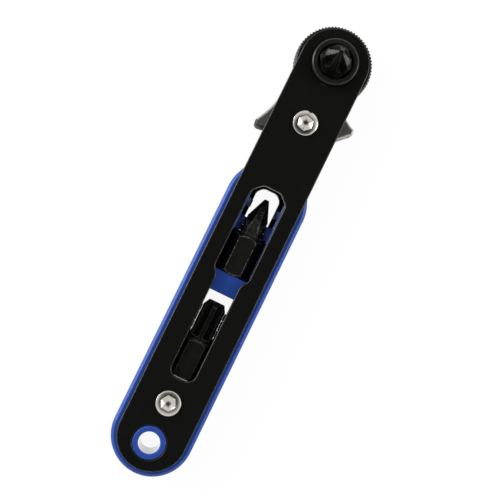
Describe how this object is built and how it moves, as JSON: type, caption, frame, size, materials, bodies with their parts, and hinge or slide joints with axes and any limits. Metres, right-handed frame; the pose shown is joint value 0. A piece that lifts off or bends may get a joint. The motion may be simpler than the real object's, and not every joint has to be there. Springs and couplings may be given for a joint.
{
  "type": "ratcheting screwdriver",
  "caption": "Flat pocket ratcheting screwdriver: toothed drive wheel with a fitted cross-point bit, rocking direction lever, and spare bits stored in the handle.",
  "frame": {"origin": "axis of the hanging eye, midway between the two plates", "axes": "+X runs along the tool to the drive head, +Z points out of the front plate, the way the fitted bit points, +Y completes the right-handed frame"},
  "size_m": [0.102, 0.02, 0.0192],
  "materials": {
    "plate_black": "satin black coated steel sheet",
    "holder_blue": "moulded blue plastic, semi-gloss",
    "wheel_black": "blackened steel, satin",
    "magnet_nickel": "nickel-plated magnet",
    "lever_steel": "tumbled sintered steel",
    "spring_steel": "bright spring strip",
    "screw_nickel": "nickel plated steel",
    "bit_black": "black oxide tool steel, satin"
  },
  "bodies": {
    "handle": {"front_plate": "plate_black", "back_plate": "plate_black", "bit_holder": "holder_blue", "detent_spring": "spring_steel", "pivot_screw": "screw_nickel", "pivot_sleeve": "screw_nickel", "tail_screw": "screw_nickel", "tail_sleeve": "screw_nickel"},
    "drive": {"drive_wheel": "wheel_black", "socket_magnet": "magnet_nickel"},
    "lever": {"pawl_lever": "lever_steel"},
    "driving_bit": {"fitted_bit": "bit_black"},
    "front_spare": {"stored_cross_bit": "bit_black"},
    "rear_spare": {"stored_star_bit": "bit_black"}
  },
  "joints": [
    {"name": "drive_spin", "type": "hinge", "parent": "handle", "child": "drive", "pos_m": [0.0867, 0, 0], "axis": [0, 0, 1], "continuous": true},
    {"name": "lever_rock", "type": "hinge", "parent": "handle", "child": "lever", "pos_m": [0.0728, 0, 0], "axis": [0, 0, 1], "range_deg": [-37.6, 0], "deforming": ["detent_spring"]},
    {"name": "bit_pull", "type": "slide", "parent": "drive", "child": "driving_bit", "axis": [0, 0, 1], "range_m": [0, 0.009]},
    {"name": "front_spare_lift", "type": "slide", "parent": "handle", "child": "front_spare", "axis": [0, 0, 1], "range_m": [0, 0.009]},
    {"name": "rear_spare_lift", "type": "slide", "parent": "handle", "child": "rear_spare", "axis": [0, 0, -1], "range_m": [0, 0.009]}
  ]
}
